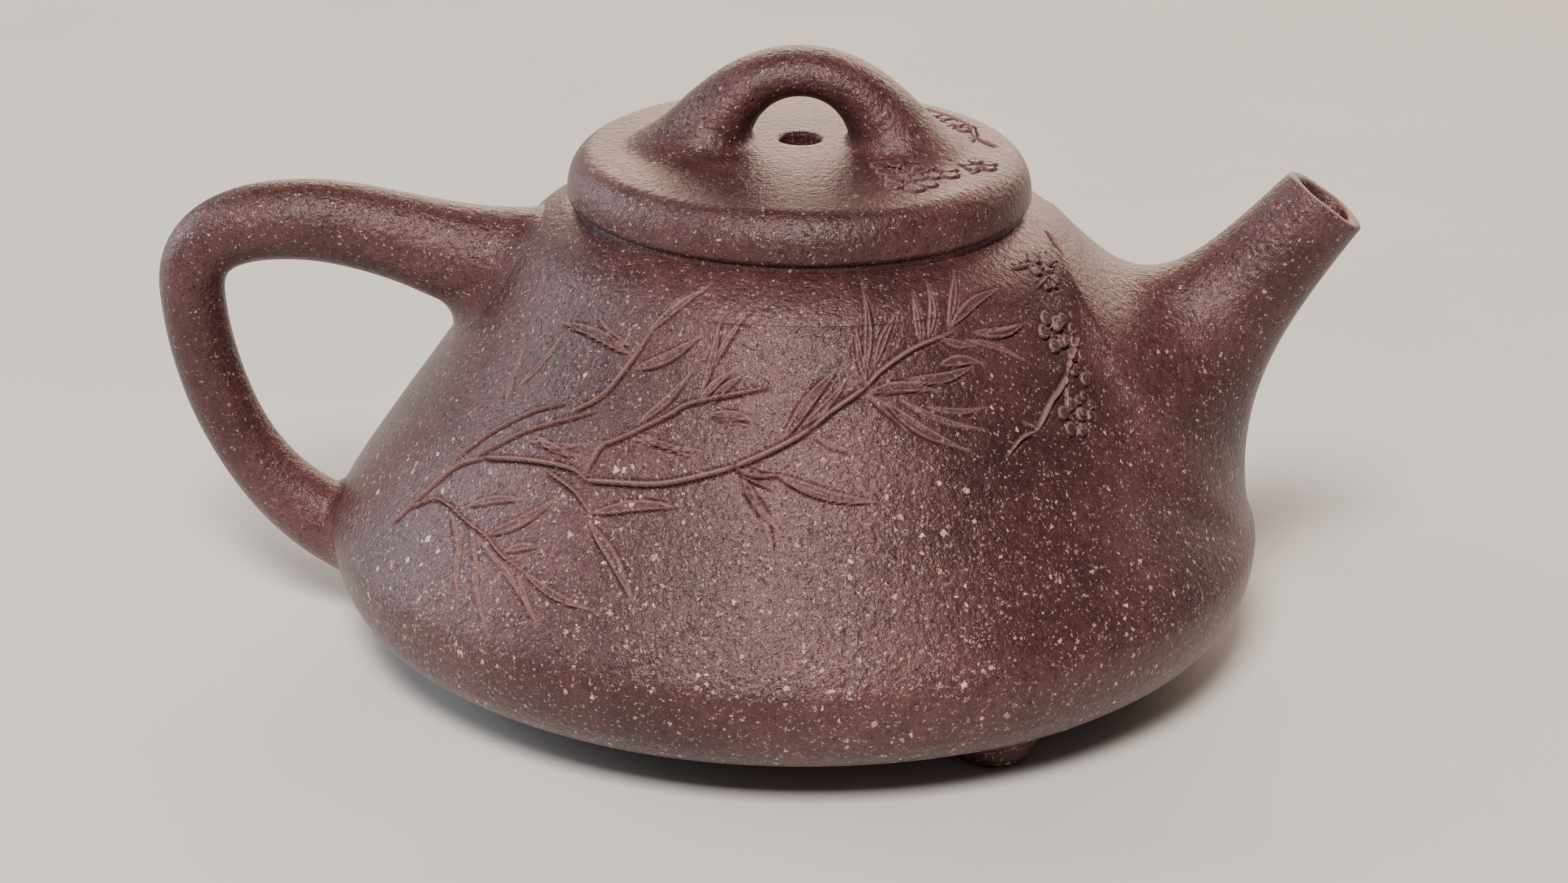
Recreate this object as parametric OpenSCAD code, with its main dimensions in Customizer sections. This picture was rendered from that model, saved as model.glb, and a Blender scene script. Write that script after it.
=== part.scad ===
// Low conical clay teapot: slab-built body on three nub feet, press-on lid with a bridge knob.
// Millimetres, +Z up. The origin is on the pot's axis at the surface it stands on.
// +X points to the spout and -X to the handle.

/* [Pot body] */
// Radius of the body at its widest line
belly_r = 55.2; // [46:0.2:66.4]
// Height of the widest line above the table
belly_z = 14.6; // [12.2:0.2:17.6]
// Radius of the flat underside
base_r = 37; // [31:0.5:44]
// Height of the underside above the table
base_z = 3.3; // [2.6:0.1:5]
// Thickness of the base slab
base_t = 3.2; // [2.4:0.1:4]
// Thickness of the wall, square to its surface
wall_t = 3; // [2.4:0.1:3.8]
// Radius of the wall at its upper rim
rim_r = 32.4; // [30:0.2:38]
// Height of the wall's upper rim
rim_z = 49.5; // [41:0.5:60]
// Slope of the conical wall, up from level
cone_slope = 56.2; // [50:0.2:64]

/* [Mouth] */
// Radius of the mouth bore
mouth_r = 21.4; // [18:0.1:22.5]
// Thickness of the shoulder slab
shoulder_t = 4; // [3:0.1:5]
// Radius of the shoulder's level top
shoulder_r = 28.3; // [27.8:0.1:29.6]
// Radius of the raised ring that the lid sits on
ring_r = 26.2; // [25:0.1:27]
// Height of the raised ring
ring_t = 0.8; // [0.5:0.1:1.4]

/* [Lid] */
// Radius of the lid
lid_r = 27; // [26.8:0.1:28.2]
// Height of the lid's edge
lid_edge = 5.8; // [4.8:0.1:7]
// Rise of the lid's gentle dome above its edge
lid_dome = 1.1; // [0.6:0.1:2]
// Depth of the collar that hangs into the mouth
flange_h = 8; // [6:0.5:10]
// Thickness of the collar
flange_t = 2.4; // [1.8:0.1:3.2]
// Gap between the collar and the mouth bore, on the radius
lid_gap = 0.35; // [0.2:0.05:0.6]
// Radius of the vent hole
vent_r = 2.4; // [1.5:0.1:3]

/* [Knob] */
// Height of the bridge knob above the lid's edge line
knob_h = 12.2; // [10.5:0.1:14.6]
// Half the distance between the middles of the knob's feet
knob_reach = 11.2; // [9.6:0.1:13]
// Half thickness of the bridge at its crest
knob_t = 2.9; // [2.4:0.1:3.4]
// Half width of the bridge at its crest, along Y
knob_w = 4.3; // [3.6:0.1:5.2]

/* [Handle] */
// How far the handle's outer bend stands out from the widest line, to its middle
handle_out = 16; // [14:0.5:20]
// Rise of the handle's crest above the wall's rim, to its middle
crest_rise = 0.9; // [-1:0.1:3]
// Half thickness of the handle at its crest
crest_t = 4.8; // [4:0.1:5.8]
// Half thickness of the handle at its lower end
tail_t = 3.8; // [3.2:0.1:4.6]

/* [Spout] */
// How far the middle of the spout's tip stands out from the widest line
tip_out = 6.1; // [3:0.1:10]
// Height of the middle of the tip above the table
tip_z = 54.9; // [50:0.1:60]
// Outer radius of the tip
tip_r = 5.4; // [4.7:0.1:6.2]
// Radius of the bore at the tip
tip_bore_r = 3.7; // [3:0.1:4.2]
// Upward slope of the spout at its tip
tip_slope = 54.7; // [46:0.1:62]
// Wall of the spout at its root
spout_wall = 3; // [2.4:0.1:3.4]

/* [Strainer] */
// Radius of the round opening through the wall behind the spout
port_r = 6.2; // [5:0.1:7]
// Outer radius of the strainer dome
dome_r = 8.2; // [7.8:0.1:9.4]
// Thickness of the strainer dome
dome_t = 1.5; // [1.2:0.1:1.8]
// Radius of each drilled hole
drip_r = 0.8; // [0.6:0.05:0.9]

/* [Feet] */
// Distance of each foot's middle from the axis
foot_ring = 42.2; // [36:0.2:46]
// Radius of a foot where it meets the body
foot_r = 5.9; // [5:0.1:7]
// Turn of the three feet round the axis, from the handle
foot_turn = 2.5; // [-20:0.5:20]

/* [Hidden] */
$fn = 96;
clay = [0.30, 0.21, 0.20];
dark_clay = [0.24, 0.17, 0.16];
inner_clay = [0.38, 0.26, 0.23];
foot_count = 3;
// The seat is the level face that the lid rests on.
shoulder_z = rim_z + shoulder_t;
seat_z = shoulder_z + ring_t;
lid_top = seat_z + lid_edge;
collar_r = mouth_r - lid_gap;
// A steep wall is thicker when it is measured level.
level_wall = wall_t / sin(cone_slope);
slope_dir = [cos(cone_slope), -sin(cone_slope)];
// How soon the wall turns in above its widest line, and how far its straight stretch reaches down
belly_turn = 2.6;
straight_run = 0.92 * (rim_z - belly_z);
// Radius that the rounded belly keeps of a full corner, across and up
corner_across = 0.63;
corner_up = 0.85;
// Rounded shoulder and lid edges
shoulder_run = 2.6;
lid_round = 3.4;
lid_under = 1.1;
// Places along the wall's straight curve, from 0 at the belly to 1 at the rim
port_at = 0.65;
spout_low_at = 0.14;
spout_top_at = 0.98;
handle_low_at = 0.78;
// How far down the wall's slope from the rim the handle's upper root is centred
handle_below_rim = 6.4;
// How much the bridge grows towards its feet, in half thickness and half width
knob_swell_t = 3.6;
knob_swell_w = 2.2;
// Rows of drilled holes round the strainer's middle one, and the tilt from row to row
drip_rows = 2;
drip_tilt = 26;
// Facets round a bar or a tube, and stations along the spout
sides = 20;
stations = 16;

// Cubic curve through p[0] and p[3], drawn towards p[1] and p[2]
function curve(p, t) = pow(1 - t, 3) * p[0] + 3 * pow(1 - t, 2) * t * p[1]
    + 3 * (1 - t) * t * t * p[2] + pow(t, 3) * p[3];
function curve_points(p, n) = [for (i = [0:n]) curve(p, i / n)];
function tail_of(list) = [for (i = [1:len(list) - 1]) list[i]];
function backwards(list) = [for (i = [len(list) - 1:-1:0]) list[i]];
function blend(a, b, t) = a + (b - a) * t;
// Ease from 0 to 1 with level ends
function ease(t) = t * t * (3 - 2 * t);

// Rounded lower corner of the body from the underside out to the widest line
function belly_corner(r0, z0, r1, z1) = [[r0, z0], [r0 + corner_across * (r1 - r0), z0],
    [r1, z1 - corner_up * (z1 - z0)], [r1, z1]];
// Wall from the widest line in and up to the rim
function cone_side(r0, z0, r1, z1) = [[r0, z0], [r0, z0 + belly_turn],
    [r1, z1] + straight_run * slope_dir, [r1, z1]];

outer_corner = belly_corner(base_r, base_z, belly_r, belly_z);
outer_cone = cone_side(belly_r, belly_z, rim_r, rim_z);
inner_corner = belly_corner(base_r, base_z + base_t, belly_r - wall_t, belly_z);
inner_cone = cone_side(belly_r - wall_t, belly_z, rim_r - level_wall, rim_z);
shoulder_curve = [[rim_r, rim_z], [rim_r, rim_z] - shoulder_run * slope_dir,
    [shoulder_r + shoulder_run / 2, shoulder_z], [shoulder_r, shoulder_z]];
outer_skin = concat(curve_points(outer_corner, 8), tail_of(curve_points(outer_cone, 12)));
inner_skin = concat(curve_points(inner_corner, 8), tail_of(curve_points(inner_cone, 12)));

// The pot's whole outer shape, filled, which everything outside it is cut back to
module pot_solid() {
    rotate_extrude()
        polygon(concat([[0, base_z]], outer_skin, tail_of(curve_points(shoulder_curve, 5)),
            [[0, shoulder_z]]));
}

// The space inside the wall, filled
module cavity() {
    rotate_extrude()
        polygon(concat([[0, base_z + base_t]], inner_skin, [[0, rim_z]]));
}

// The lid's disc without its vent
lid_outline = concat(
    curve_points([[lid_r - lid_under, seat_z], [lid_r - lid_under / 2, seat_z],
        [lid_r, seat_z + lid_under / 2], [lid_r, seat_z + lid_under]], 3),
    tail_of(curve_points([[lid_r, seat_z + lid_under], [lid_r, seat_z + lid_edge * 0.65],
        [lid_r - lid_round * 0.45, lid_top], [lid_r - lid_round, lid_top]], 7)),
    tail_of(curve_points([[lid_r - lid_round, lid_top], [lid_r - 2.4 * lid_round, lid_top + lid_dome * 0.3],
        [lid_r / 3, lid_top + lid_dome], [0, lid_top + lid_dome]], 5)));
module lid_solid() {
    rotate_extrude()
        polygon(concat([[0, seat_z]], lid_outline));
}

// A station is [middle, half axis in the XZ plane, half width along Y].
function ring(s) = [for (k = [0:sides - 1])
    [s[0][0] + s[1][0] * cos(360 * k / sides), s[2] * sin(360 * k / sides),
    s[0][1] + s[1][1] * cos(360 * k / sides)]];
function skin(first, n, flip) = [for (i = [0:n - 2]) for (k = [0:sides - 1]) for (half = [0, 1])
    let (a = first + i * sides + k, b = first + i * sides + (k + 1) % sides,
        face = half == 0 ? [a, b, b + sides] : [a, b + sides, a + sides])
    flip ? backwards(face) : face];

// Solid bar carried through a list of stations
module bar(list) {
    n = len(list);
    points = [for (s = list) each ring(s)];
    start_cap = backwards([for (k = [0:sides - 1]) k]);
    end_cap = [for (k = [0:sides - 1]) (n - 1) * sides + k];
    polyhedron(points, concat(skin(0, n, false), [start_cap, end_cap]), convexity = 6);
}

// Open tube between an outer and an inner list of stations
module pipe(outer, inner) {
    n = len(outer);
    total = n * sides;
    points = concat([for (s = outer) each ring(s)], [for (s = inner) each ring(s)]);
    ends = [for (e = [0, 1]) for (k = [0:sides - 1]) for (half = [0, 1])
        let (row = e * (n - 1) * sides, a = row + k, b = row + (k + 1) % sides,
            face = half == 0 ? [a, total + a, total + b] : [a, total + b, b])
        e == 0 ? face : backwards(face)];
    polyhedron(points, concat(skin(0, n, false), skin(total, n, true), ends), convexity = 6);
}

module body_wall() {
    color(clay)
    difference() {
        rotate_extrude()
            polygon(concat(outer_skin, backwards(inner_skin)));
        port_axis() cylinder(r = port_r, h = 6 * wall_t, center = true);
    }
}

module base_slab() {
    color(inner_clay) translate([0, 0, base_z]) cylinder(r = base_r, h = base_t);
}

module shoulder_slab() {
    color(clay) rotate_extrude()
        polygon(concat([[mouth_r, rim_z]], curve_points(shoulder_curve, 5), [[mouth_r, shoulder_z]]));
}

module mouth_ring() {
    color(dark_clay) translate([0, 0, shoulder_z])
    difference() {
        cylinder(r = ring_r, h = ring_t);
        translate([0, 0, -1]) cylinder(r = mouth_r, h = ring_t + 2);
    }
}

// Rounded nub, cut back to the body above it
module foot(turn) {
    foot_flat = foot_r * 0.55;
    foot_curve = [[foot_flat, 0], [foot_r * 0.85, 0], [foot_r * 0.98, base_z * 0.5], [foot_r, base_z]];
    color(dark_clay)
    difference() {
        rotate([0, 0, 180 + turn]) translate([foot_ring, 0, 0]) rotate_extrude()
            polygon(concat([[0, 0]], curve_points(foot_curve, 5), [[foot_r, belly_z / 2], [0, belly_z / 2]]));
        pot_solid();
    }
}

module foot_under_handle() {
    foot(foot_turn);
}

module foot_front() {
    foot(foot_turn + 360 / foot_count);
}

module foot_back() {
    foot(foot_turn - 360 / foot_count);
}

// Middle of the opening behind the spout, with Z square to the wall
port_mid = (curve(outer_cone, port_at) + curve(inner_cone, port_at)) / 2;
module port_axis() {
    translate([port_mid[0], 0, port_mid[1]]) rotate([0, cone_slope, 0]) children();
}

// Slope of each edge where it leaves the tip, and how far it keeps that slope
top_edge_slope = 46;
top_edge_run = 12;
low_edge_slope = 50;
low_edge_run = 12.2;
// The spout lies between an upper and a lower edge line, from the tip back into the wall.
tip_mid = [belly_r + tip_out, tip_z];
tip_across = [-sin(tip_slope), cos(tip_slope)];
top_lip = tip_mid + tip_r * tip_across;
low_lip = tip_mid - tip_r * tip_across;
spout_top = [top_lip, top_lip - top_edge_run * [cos(top_edge_slope), sin(top_edge_slope)],
    curve(outer_cone, spout_top_at) + [8.4, -8], curve(outer_cone, spout_top_at) + [-0.3, -0.5]];
spout_low = [low_lip, low_lip - low_edge_run * [cos(low_edge_slope), sin(low_edge_slope)],
    curve(outer_cone, spout_low_at) + [-1.8, 12], curve(outer_cone, spout_low_at) + [-1.4, 0]];
function spout_station(t, skin_t) = let (a = curve(spout_top, t), b = curve(spout_low, t),
    half = norm(a - b) / 2, keep = (half - skin_t) / half)
    [(a + b) / 2, keep * (a - b) / 2, half * (1 - 0.18 * t) - skin_t];
function spout_skin(t) = blend(tip_r - tip_bore_r, spout_wall, min(1, 2 * t));

module spout() {
    color(clay)
    difference() {
        pipe([for (i = [stations:-1:0]) spout_station(i / stations, 0)],
            [for (i = [stations:-1:0]) spout_station(i / stations, spout_skin(i / stations))]);
        pot_solid();
    }
}

// Dome of clay with drilled holes, luted over the opening on the inside
module strainer() {
    color(inner_clay)
    intersection() {
        difference() {
            port_axis() sphere(r = dome_r);
            port_axis() sphere(r = dome_r - dome_t);
            port_axis() for (row = [0:drip_rows], k = [0:max(0, 6 * row - 1)])
                rotate([0, 0, 60 * k / max(1, row)]) rotate([180 - drip_tilt * row, 0, 0])
                    translate([0, 0, dome_r - dome_t - 1]) cylinder(r = drip_r, h = dome_t + 2);
        }
        cavity();
    }
}

// The handle's middle line: out from the wall, over its crest, round its bend, down to the belly.
crest = [-(belly_r + 2.8), rim_z + crest_rise];
bend = [-(belly_r + handle_out), blend(belly_z, crest[1], 0.745)];
high_root = [rim_r, rim_z] + handle_below_rim * slope_dir;
low_root = curve(outer_corner, handle_low_at);
handle_lines = [
    [[4 - high_root[0], high_root[1] - 0.4], [-high_root[0] - 6, high_root[1] + 1.4],
        crest + [8, 0], crest],
    [crest, crest - [8.6, 0], bend + [-0.4, 6.2], bend],
    [bend, bend + [0.4, -7.8], [-low_root[0] - 11.4, low_root[1] + 5.4],
        [4.5 - low_root[0], low_root[1] + 0.6]]];
handle_steps = [8, 7, 11];
// Extra half thickness where the handle joins the shoulder and the belly
high_swell = 2;
low_swell = 2.6;
// Distance along the handle from 0 to 1, and its half thickness there, swelling into both roots
function handle_half(s) = blend(crest_t + 0.6, tail_t, ease(min(1, s * 1.25)))
    + high_swell * pow(max(0, 1 - s / 0.22), 2) + low_swell * pow(max(0, (s - 0.82) / 0.18), 2);
handle_stations = [for (seg = [0:2]) for (i = [(seg == 0 ? 0 : 1):handle_steps[seg]])
    let (t = i / handle_steps[seg], line = handle_lines[seg], h = 0.01,
        ahead = curve(line, min(1, t + h)) - curve(line, max(0, t - h)),
        along = ahead / norm(ahead), half = handle_half((seg + t) / 3))
    [curve(line, t), half * [-along[1], along[0]], half * 0.98]];

module handle() {
    color(clay)
    difference() {
        bar(handle_stations);
        pot_solid();
    }
}

module lid_plate() {
    color(clay)
    difference() {
        lid_solid();
        translate([0, 0, seat_z - 1]) cylinder(r = vent_r, h = lid_edge + lid_dome + 2);
    }
}

module lid_collar() {
    color(dark_clay) translate([0, 0, seat_z - flange_h])
    difference() {
        cylinder(r = collar_r, h = flange_h);
        translate([0, 0, -1]) cylinder(r = collar_r - flange_t, h = flange_h + 2);
    }
}

// The bridge's middle line from foot to foot: u runs from -1 over the crest at 0 to 1.
knob_side = [[knob_reach, lid_top - 0.6], [knob_reach - 2.2, lid_top + 5],
    [knob_reach * 0.5, lid_top + knob_h - knob_t], [0, lid_top + knob_h - knob_t]];
knob_steps = 9;
function knob_middle(u) = let (p = curve(knob_side, 1 - abs(u))) [sign(u) * p[0], p[1]];
function knob_station(u) = let (h = 0.01,
    ahead = knob_middle(min(1, u + h)) - knob_middle(max(-1, u - h)), along = ahead / norm(ahead))
    [knob_middle(u), (knob_t + knob_swell_t * u * u) * [-along[1], along[0]],
        knob_w + knob_swell_w * u * u];

module lid_knob() {
    color(clay)
    difference() {
        bar([for (i = [-knob_steps:knob_steps]) knob_station(i / knob_steps)]);
        lid_solid();
    }
}

body_wall();
base_slab();
shoulder_slab();
mouth_ring();
foot_under_handle();
foot_front();
foot_back();
spout();
strainer();
handle();
lid_plate();
lid_collar();
lid_knob();
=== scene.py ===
"""Finish and looks for a low conical clay teapot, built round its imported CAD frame.

Shapes are worked out in millimetres as grids of points and turned to metres when a mesh is made.
+X points to the spout, -X to the handle, +Z is up and the origin is on the axis at the table.
"""

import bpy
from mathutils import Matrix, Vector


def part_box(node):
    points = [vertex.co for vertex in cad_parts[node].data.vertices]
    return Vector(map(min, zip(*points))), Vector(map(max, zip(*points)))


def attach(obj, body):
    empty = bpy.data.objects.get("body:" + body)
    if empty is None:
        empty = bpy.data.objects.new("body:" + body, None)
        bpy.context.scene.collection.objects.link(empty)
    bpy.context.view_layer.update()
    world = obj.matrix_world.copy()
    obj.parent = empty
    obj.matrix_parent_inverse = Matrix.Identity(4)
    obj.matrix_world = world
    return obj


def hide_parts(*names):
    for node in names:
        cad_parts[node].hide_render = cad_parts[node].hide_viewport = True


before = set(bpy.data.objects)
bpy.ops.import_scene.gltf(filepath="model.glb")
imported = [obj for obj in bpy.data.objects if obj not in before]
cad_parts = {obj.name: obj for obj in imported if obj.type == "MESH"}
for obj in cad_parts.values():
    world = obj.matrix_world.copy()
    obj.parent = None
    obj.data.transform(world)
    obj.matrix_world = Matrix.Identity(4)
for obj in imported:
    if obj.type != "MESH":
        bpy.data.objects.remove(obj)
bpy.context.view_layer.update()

import bmesh
import bpy
import numpy as np
from mathutils import Matrix

MM = 0.001

# ---------------------------------------------------------------- sizes, mm


def corners(node):
    """Lowest and highest corner of a CAD node, in mm."""
    low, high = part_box(node)
    return np.array(low) / MM, np.array(high) / MM


BELLY_R = corners("body_wall")[1][0]
RIM_Z = corners("body_wall")[1][2]
BASE_Z = corners("base_slab")[0][2]
BASE_T = corners("base_slab")[1][2] - BASE_Z
BASE_R = corners("base_slab")[1][0]
RIM_R = corners("shoulder_slab")[1][0]
SHOULDER_Z = corners("shoulder_slab")[1][2]
RING_R = corners("mouth_ring")[1][0]
SEAT_Z = corners("mouth_ring")[1][2]
LID_R = corners("lid_plate")[1][0]
DOME_Z = corners("lid_plate")[1][2]
COLLAR_R = corners("lid_collar")[1][0]
COLLAR_Z = corners("lid_collar")[0][2]
KNOB_Z = corners("lid_knob")[1][2]
# Given here, because no node's box gives them. The port's place is its share of the way up the
# cone, its edges are degrees round from the front, and the foot ring is the circle the feet are on.
# Waves are heights of unevenness, and ROUND is how many points go round a plain turned piece.
BELLY_Z = 14.6
WALL = 3.0
SLOPE = np.radians(56.2)
SHOULDER_R = 27.0
MOUTH_R = 21.4
LID_TOP = SEAT_Z + 5.8
COLLAR_T = 2.4
VENT_R = 2.4
PORT_R = 6.2
PORT_PLACE = 0.65
PORT_EDGES = (82, 98)
FOOT_RING_R = 42.2
WALL_WAVE = 0.035
LID_WAVE = 0.03
ROUND = 144

# ---------------------------------------------------------------- curves


def curve(points, t):
    """Cubic curve: (1-t)^3 a + 3(1-t)^2 t b + 3(1-t) t^2 c + t^3 d, for any array of t."""
    t = np.asarray(t, float)[..., None]
    a, b, c, d = [np.asarray(p, float) for p in points]
    return (1 - t) ** 3 * a + 3 * (1 - t) ** 2 * t * b + 3 * (1 - t) * t * t * c + t ** 3 * d


def drawn(*parts):
    """One line of points through several parts, each a cubic curve of 4 points or a line of 2."""
    line = np.vstack([curve(part, np.linspace(0, 1, 161)) if len(part) == 4
                      else np.linspace(part[0], part[1], 41) for part in parts])
    keep = np.r_[True, np.hypot(*np.diff(line, axis=0).T) > 1e-6]
    return line[keep]


def length_along(line):
    """Running length at each point of a line."""
    return np.r_[0, np.cumsum(np.linalg.norm(np.diff(line, axis=0), axis=1))]


def places(line, at):
    """Points at the given running lengths of a line, each coordinate looked up in that length."""
    run = length_along(line)
    return np.stack([np.interp(at, run, line[:, k]) for k in range(line.shape[1])], -1)


def through(points, step):
    """Smooth line through every point: Catmull-Rom pieces, each a cubic with the chord between a
    point's neighbours, halved, as its slope there."""
    p = np.asarray(points, float)
    p = np.vstack([2 * p[0] - p[1], p, 2 * p[-1] - p[-2]])
    t = np.linspace(0, 1, 40, endpoint=False)
    parts = [curve((p[i], p[i] + (p[i + 1] - p[i - 1]) / 6,
                    p[i + 1] - (p[i + 2] - p[i]) / 6, p[i + 1]), t)
             for i in range(1, len(p) - 2)]
    line = np.vstack(parts + [p[-2:-1]])
    run = length_along(line)
    return places(line, np.linspace(0, run[-1], max(4, int(run[-1] / step))))


def ease(t):
    """0 to 1 with level ends: t^2 (3 - 2t), held at 0 and 1 outside."""
    t = np.clip(t, 0, 1)
    return t * t * (3 - 2 * t)


# ---------------------------------------------------------------- the turned outlines

DOWN_SLOPE = np.array([np.cos(SLOPE), -np.sin(SLOPE)])
INNER_RIM_R = RIM_R - WALL / np.sin(SLOPE)
FLOOR_Z = BASE_Z + BASE_T


def side_of_pot(belly, base_z, rim):
    """The belly's lower corner and the cone above it, as cubic curves, for either skin. Shares of
    each one's width and height set how full it is."""
    corner = ((BASE_R, base_z), (BASE_R + 0.63 * (belly - BASE_R), base_z),
              (belly, BELLY_Z - 0.85 * (BELLY_Z - base_z)), (belly, BELLY_Z))
    cone = ((belly, BELLY_Z), (belly, BELLY_Z + 2.6),
            np.array([rim, RIM_Z]) + 0.92 * (RIM_Z - BELLY_Z) * DOWN_SLOPE, (rim, RIM_Z))
    return corner, cone


CORNER, CONE = side_of_pot(BELLY_R, BASE_Z, RIM_R)
INNER_CORNER, INNER_CONE = side_of_pot(BELLY_R - WALL, FLOOR_Z, INNER_RIM_R)
SHOULDER = ((RIM_R, RIM_Z), np.array([RIM_R, RIM_Z]) - 2.1 * DOWN_SLOPE,
            (SHOULDER_R + 2.1, SHOULDER_Z - 1.0), (SHOULDER_R, SHOULDER_Z - 0.1))
LID_EDGE = (((LID_R - 0.8, SEAT_Z), (LID_R - 0.35, SEAT_Z), (LID_R - 0.05, SEAT_Z + 0.35),
             (LID_R, SEAT_Z + 1.1)),
            ((LID_R, SEAT_Z + 1.1), (LID_R, SEAT_Z + 3.77), (LID_R - 1.53, LID_TOP),
             (LID_R - 3.4, LID_TOP)))
LID_FACE = ((LID_R - 3.4, LID_TOP), (LID_R - 8.16, LID_TOP + 0.33), (LID_R / 3, DOME_Z),
            (0, DOME_Z))
POT_OUTLINE = drawn(((0, BASE_Z), (BASE_R, BASE_Z)), CORNER, CONE, SHOULDER,
                    (SHOULDER[3], (MOUTH_R, SHOULDER_Z)), ((MOUTH_R, SHOULDER_Z), (0, SHOULDER_Z)))
LID_OUTLINE = drawn(((10, SEAT_Z), (LID_R - 0.8, SEAT_Z)), *LID_EDGE, LID_FACE)
INNER_OUTLINE = drawn(((0, FLOOR_Z), (BASE_R, FLOOR_Z)), INNER_CORNER, INNER_CONE,
                      ((INNER_RIM_R, RIM_Z), (INNER_RIM_R, RIM_Z + 3)))


def fine(outline, step=0.1):
    """An outline at even steps, with its outward directions: (points, directions)."""
    run = length_along(outline)[-1]
    line = places(outline, np.linspace(0, run, int(run / step)))
    slope = np.gradient(line, axis=0)
    slope /= np.linalg.norm(slope, axis=1)[:, None]
    return line, np.stack([slope[:, 1], -slope[:, 0]], -1)


POT_SKIN, LID_SKIN, INNER_SKIN = fine(POT_OUTLINE), fine(LID_OUTLINE), fine(INNER_OUTLINE)


def over(skin, points):
    """Height of points over a turned skin and its outward direction under them. Each point is set
    in the plane of radius and height, the nearest place of the outline is found there, and the
    height is the distance along that place's outward direction."""
    shape = points.shape[:-1]
    flat = points.reshape(-1, 3)
    line, out = skin
    reach = np.hypot(flat[:, 0], flat[:, 1])
    here = np.stack([reach, flat[:, 2]], -1)
    near = np.argmin(((here[:, None] - line[None]) ** 2).sum(-1), axis=1)
    height = ((here - line[near]) * out[near]).sum(-1)
    around = flat[:, :2] / np.maximum(reach, 1e-9)[:, None]
    direction = np.column_stack([around * out[near][:, :1], out[near][:, 1]])
    return height.reshape(shape), direction.reshape(*shape, 3)


# ---------------------------------------------------------------- meshes


def grid_faces(rows, across, ring=True, loop=False):
    """Four-sided faces of a grid of rows. Ring joins each row's last point to its first, and loop
    joins the last row to the first."""
    i = np.arange(rows if loop else rows - 1)[:, None]
    j = np.arange(across if ring else across - 1)[None, :]
    i2, j2 = (i + 1) % rows, (j + 1) % across
    faces = np.stack([i * across + j, i * across + j2, i2 * across + j2, i2 * across + j], -1)
    return faces.reshape(-1, 4)


def fan_faces(row, centre):
    """Triangles from each pair of neighbours of a closed row to one centre point."""
    return np.stack([row, np.roll(row, -1), np.full(len(row), centre)], -1)


def volume(points, faces):
    """Six times the signed volume inside faces, each cut into triangles from its first corner."""
    first = points[faces[:, 0]]
    return sum(np.einsum("ij,ij->i", first, np.cross(points[faces[:, k]],
                                                     points[faces[:, k + 1]])).sum()
               for k in range(1, faces.shape[1] - 1))


def build(name, points, face_sets, **marks):
    """Mesh in metres of points in mm and sets of faces, turned to face outwards. Marks are named
    values, one for each point, which the finish reads."""
    points = np.asarray(points, float)
    if sum(volume(points, f) for f in face_sets) < 0:
        face_sets = [f[:, ::-1] for f in face_sets]
    mesh = bpy.data.meshes.new(name)
    mesh.from_pydata((points * MM).tolist(), [], sum((f.tolist() for f in face_sets), []))
    # cut marks the grooves, which the finish paints darker as shade and makes duller; worn marks
    # paler wear
    for mark in ("cut", "worn"):
        layer = mesh.attributes.new(mark, "FLOAT", "POINT")
        layer.data.foreach_set("value", np.asarray(
            marks.get(mark, np.zeros(len(points))), np.float32))
    return mesh


def piece(name, points, face_sets, body, nodes, slot, finish, sharp=40, **marks):
    """Makes one closed piece, puts it on its body and hides the CAD nodes it stands for."""
    return settled(name, build(name, points, face_sets, **marks), body, nodes, finish, sharp)


def settled(name, mesh, body, nodes, finish, sharp=40):
    """Puts a finished mesh in the scene, smooth but for edges sharper than an angle."""
    mesh.validate()
    mesh.shade_smooth()
    mesh.set_sharp_from_angle(angle=np.radians(sharp))
    made = bpy.data.objects.new(name, mesh)
    bpy.context.scene.collection.objects.link(made)
    mesh.materials.append(finish)
    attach(made, body)
    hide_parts(*nodes)
    return made


def cell_faces(split, refined, keep):
    """Faces of a ring of cells that is finer in places. The lattice has split points along each
    side of a cell. A refined cell gives split x split small faces. A plain one gives one face,
    which takes in the lattice points of each side that it shares with a refined cell. The sets
    of plain cells go by which of their four sides those are."""
    rows, across = refined.shape
    high, wide = rows * split, across * split
    step = np.arange(split)

    def number(i, j):
        return (i % high) * wide + j % wide

    i, j = np.nonzero(refined & keep)
    i = (i[:, None, None] * split + step[:, None]) + 0 * step
    j = (j[:, None, None] * split + step) + 0 * step[:, None]
    small = np.stack([number(i, j), number(i, j + 1), number(i + 1, j + 1), number(i + 1, j)], -1)
    sets = [small.reshape(-1, 4)]
    beside = [np.roll(refined, 1, 0), np.roll(refined, -1, 1), np.roll(refined, -1, 0),
              np.roll(refined, 1, 1)]
    kind = sum(b.astype(int) << k for k, b in enumerate(beside))
    for which in range(16):
        i, j = np.nonzero(~refined & keep & (kind == which))
        i, j = i[:, None] * split, j[:, None] * split
        side = [step if which >> k & 1 else step[:1] for k in range(4)]
        sets.append(np.concatenate([number(i + 0 * side[0], j + side[0]),
                                    number(i + side[1], j + split + 0 * side[1]),
                                    number(i + split + 0 * side[2], j + split - side[2]),
                                    number(i + split - side[3], j + 0 * side[3])], axis=1))
    return [f for f in sets if len(f)]


def outline_cells(*segments):
    """Closed outline from parts, each (points of a curve or line, longest cell). Returns its dense
    line, the running length where each cell starts, and how many cells each part has."""
    lines = [drawn(part) for part, _ in segments]
    starts, counts, run = [], [], 0.0
    for line, (_, cell) in zip(lines, segments):
        size = length_along(line)[-1]
        count = max(1, int(np.ceil(size / cell)))
        starts.append(run + np.arange(count) * size / count)
        counts.append(count)
        run += size
    whole = np.vstack([lines[0]] + [line[1:] for line in lines[1:]])
    return whole, np.concatenate(starts), run, counts


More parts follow.
